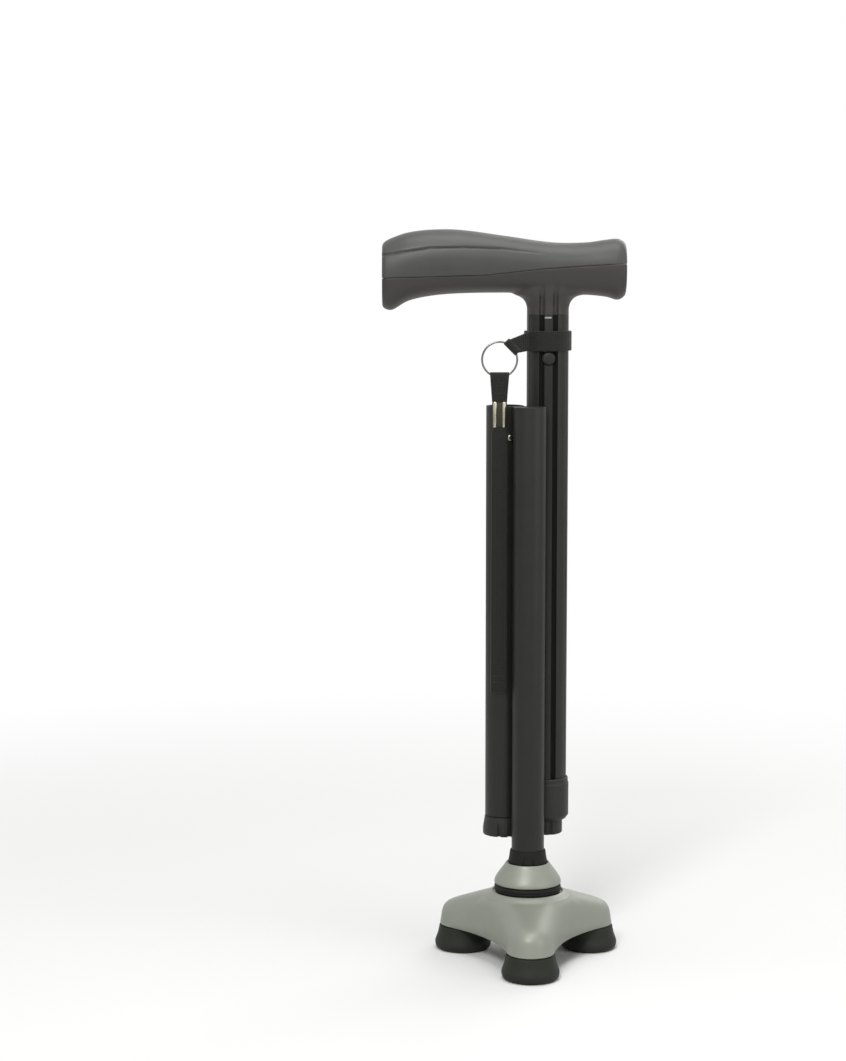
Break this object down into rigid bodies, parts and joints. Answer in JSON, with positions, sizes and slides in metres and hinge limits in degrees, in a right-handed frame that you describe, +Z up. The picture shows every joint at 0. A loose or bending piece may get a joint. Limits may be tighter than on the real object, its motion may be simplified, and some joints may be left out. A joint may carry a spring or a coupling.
{
  "type": "folding walking cane",
  "caption": "Folding walking cane, folded: nested tubes on an elastic cord, T handle with a height button, wrist strap and a three footed base on a flexing ankle.",
  "frame": {"origin": "on the floor, under the middle of the folded cane's box", "axes": "+X to the short end of the handle, +Y away from the front foot, +Z up along the tubes"},
  "size_m": [0.116, 0.082, 0.3498],
  "materials": {
    "coated_aluminium": "satin black coat",
    "bare_aluminium": "drawn, uncoated",
    "bright_steel": "bright plated",
    "black_plastic": "fine moulded grain",
    "grey_plastic": "satin moulded, warm grey",
    "soft_grip": "soft moulded, faintly glossy",
    "hard_body": "moulded, dark warm grey",
    "black_rubber": "matt",
    "foot_rubber": "matt, dark olive grey",
    "webbing": "flat woven",
    "elastic_cord": "round braid"
  },
  "bodies": {
    "lower_section": {"lower_tube": "coated_aluminium", "lower_end_bush": "black_plastic", "lower_cord_anchor": "black_plastic", "lower_cord_ferrule": "bare_aluminium", "lower_cord": "elastic_cord", "ankle_boot": "black_rubber", "ankle_dome": "grey_plastic", "ankle_stud": "bright_steel", "stud_nut": "bright_steel", "stud_insert": "black_plastic"},
    "ankle": {"ankle_ring": "black_rubber"},
    "base": {"base_shell": "grey_plastic", "socket_cap": "black_plastic", "socket_screw_1": "bright_steel", "socket_screw_2": "bright_steel", "socket_screw_3": "bright_steel", "foot_front": "foot_rubber", "foot_left": "foot_rubber", "foot_right": "foot_rubber"},
    "upper_link": {"upper_cord_link": "elastic_cord"},
    "middle_section": {"middle_tube": "coated_aluminium", "middle_stop": "black_plastic", "middle_rivet": "bright_steel", "middle_socket": "black_plastic", "middle_cord": "elastic_cord"},
    "lower_link": {"lower_cord_link": "elastic_cord"},
    "upper_section": {"upper_tube": "coated_aluminium", "joint_collar": "black_plastic", "joint_plug": "black_plastic", "upper_cord": "elastic_cord", "upper_cord_ferrule": "bare_aluminium", "top_bush": "black_plastic", "button_spring": "bright_steel", "strap_band": "webbing"},
    "button": {"height_button": "black_plastic"},
    "handle": {"handle_post": "bare_aluminium", "post_plug": "black_plastic", "handle_body": "hard_body", "handle_grip": "soft_grip", "handle_bolt": "bright_steel"},
    "strap_ring": {"split_ring": "bright_steel"},
    "strap": {"strap_fold": "webbing", "strap_crimp": "bright_steel", "wrist_loop": "webbing"}
  },
  "joints": [
    {"name": "fold_lower", "type": "hinge", "parent": "lower_section", "child": "upper_link", "pos_m": [0.00635, 0.01547, 0.2665], "axis": [0.788, 0.6157, 0], "range_deg": [0, 180], "deforming": ["upper_cord_link", "strap_fold", "strap_crimp", "wrist_loop"]},
    {"name": "seat_lower", "type": "slide", "parent": "upper_link", "child": "middle_section", "axis": [0, 0, 1], "range_m": [0, 0.0123]},
    {"name": "seat_upper", "type": "slide", "parent": "middle_section", "child": "lower_link", "axis": [0, 0, 1], "range_m": [0, 0.0075]},
    {"name": "fold_upper", "type": "hinge", "parent": "lower_link", "child": "upper_section", "pos_m": [0.01095, 0.02407, 0.0575], "axis": [-0.1392, 0.9903, 0], "range_deg": [0, 180], "deforming": ["lower_cord_link"]},
    {"name": "height_adjust", "type": "slide", "parent": "upper_section", "child": "handle", "axis": [0, 0, 1], "range_m": [0, 0.1524]},
    {"name": "height_button", "type": "slide", "parent": "upper_section", "child": "button", "axis": [0, 1, 0], "range_m": [0, 0.002], "stiffness_N_per_m": 1500, "deforming": ["button_spring"]},
    {"name": "ankle_tilt_x", "type": "hinge", "parent": "lower_section", "child": "ankle", "pos_m": [0.01196, 0.0083, 0.03475], "axis": [1, 0, 0], "range_deg": [-10, 10], "stiffness_Nm_per_rad": 7, "deforming": ["ankle_ring"]},
    {"name": "ankle_tilt_y", "type": "hinge", "parent": "ankle", "child": "base", "pos_m": [0.01196, 0.0083, 0.03475], "axis": [0, 1, 0], "range_deg": [-10, 10], "stiffness_Nm_per_rad": 7},
    {"name": "ring_swing", "type": "hinge", "parent": "upper_section", "child": "strap_ring", "pos_m": [0.00362, 0.0115, 0.29437], "axis": [-0.7071, 0, 0.7071], "range_deg": [0, 60]},
    {"name": "strap_swing", "type": "hinge", "parent": "strap_ring", "child": "strap", "pos_m": [-0.00225, 0.0115, 0.2802], "axis": [-1, 0, 0], "range_deg": [0, 60]}
  ],
  "couplings": [
    {"joint": "fold_upper", "follows": "fold_lower", "ratio": 1}
  ]
}
